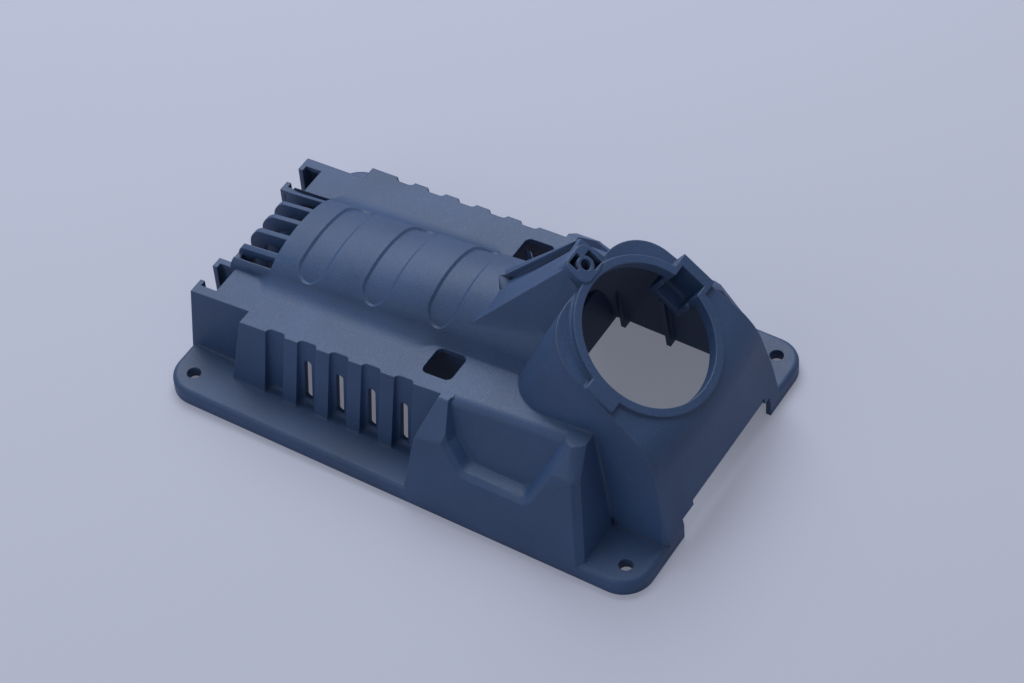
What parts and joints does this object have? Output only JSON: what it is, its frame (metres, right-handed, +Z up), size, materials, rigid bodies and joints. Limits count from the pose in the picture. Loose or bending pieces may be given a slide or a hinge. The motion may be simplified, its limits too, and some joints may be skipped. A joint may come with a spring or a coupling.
{
  "type": "injection moulded plastic housing",
  "caption": "Flanged one-piece moulded cover with a grilled barrel, vented sides and a hood with a large slanted round opening.",
  "frame": {"origin": "middle of the four mounting holes, on the plane the flange sits on", "axes": "+X towards the end with the slanted round opening, +Z up, away from the seat"},
  "size_m": [0.2528, 0.16, 0.1058],
  "materials": {
    "navy_plastic": "dark navy blue moulded plastic with a fine matt grain and a soft sheen"
  },
  "bodies": {
    "root": {"housing": "navy_plastic"}
  },
  "joints": []
}
